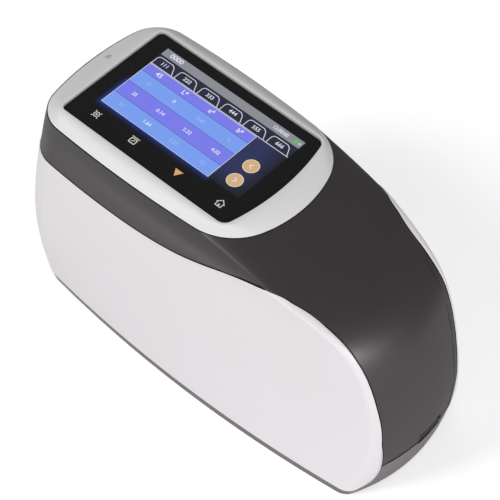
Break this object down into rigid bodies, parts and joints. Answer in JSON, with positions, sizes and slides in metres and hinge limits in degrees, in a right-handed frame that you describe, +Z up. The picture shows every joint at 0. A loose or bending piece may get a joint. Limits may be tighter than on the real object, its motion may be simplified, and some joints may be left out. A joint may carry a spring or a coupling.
{
  "type": "portable multi-angle colorimeter",
  "caption": "Handheld multi-angle colour meter with a tilted-back spine, a flat screen on top, white side panels and a measuring opening underneath.",
  "frame": {"origin": "centre of the bounding box's footprint, on the plane the feet rest on", "axes": "+X along the long axis toward the sloping end with the port, +Y toward the side with the measuring button, +Z up"},
  "size_m": [0.1833, 0.0768, 0.106],
  "materials": {
    "dark_shell": "fine texture, satin",
    "white_panel": "smooth satin white",
    "bezel_grey": "smooth light grey",
    "cover_glass": "polished, black border",
    "gasket": "soft adhesive foam",
    "lcd": "lit picture",
    "tray": "white",
    "flex": "amber film",
    "light_pipe": "frosted",
    "board_green": "laminate",
    "chip_black": "moulded",
    "chassis_metal": "brushed sheet",
    "screw_steel": "plated",
    "head_black": "black anodised",
    "tube_metal": "turned",
    "lens_glass": "coated",
    "ring_metal": "turned",
    "window_glass": "polished",
    "cell_wrap": "shrink sleeve",
    "tray_black": "moulded",
    "socket_metal": "stamped",
    "button_grey": "smooth",
    "knob_black": "moulded",
    "foot_rubber": "soft"
  },
  "bodies": {
    "housing": {"upper_shell": "dark_shell", "base_shell": "dark_shell", "side_panel_near": "white_panel", "side_panel_far": "white_panel", "bezel": "bezel_grey", "light_pipe": "light_pipe", "status_lamp_board": "board_green", "cover_glass": "cover_glass", "glass_gasket": "gasket", "lcd_panel": "lcd", "backlight_tray": "tray", "chassis": "chassis_metal", "main_board": "board_green", "chassis_screws": "screw_steel", "board_screws": "screw_steel", "board_chips": "chip_black", "buzzer": "chip_black", "display_flex": "flex", "tact_switch": "chip_black", "button_board": "board_green", "aperture_ring": "ring_metal", "aperture_window": "window_glass", "measuring_head": "head_black", "lamp_tubes": "tube_metal", "receiver_tubes": "tube_metal", "tube_lenses": "lens_glass", "lamp_boards": "board_green", "detector_boards": "board_green", "view_camera": "chip_black", "head_screws": "screw_steel", "battery_tray": "tray_black", "battery_cells": "cell_wrap", "battery_bridge": "chassis_metal", "bridge_screws": "screw_steel", "power_board": "board_green", "power_parts": "chip_black", "port_board": "board_green", "port_screws": "screw_steel", "usb_socket": "socket_metal", "slide_switch": "chip_black", "housing_screws": "screw_steel", "foot_pads": "foot_rubber"},
    "button": {"measure_button": "button_grey", "switch_plunger": "knob_black"},
    "power_switch_knob": {"power_knob": "knob_black"}
  },
  "joints": [
    {"name": "measure_button_press", "type": "slide", "parent": "housing", "child": "button", "axis": [0, -1, 0], "range_m": [0, 0.0008], "stiffness_N_per_m": 2500, "springref_m": -0.0006},
    {"name": "power_switch_slide", "type": "slide", "parent": "housing", "child": "power_switch_knob", "axis": [0, 1, 0], "range_m": [0, 0.002]}
  ]
}
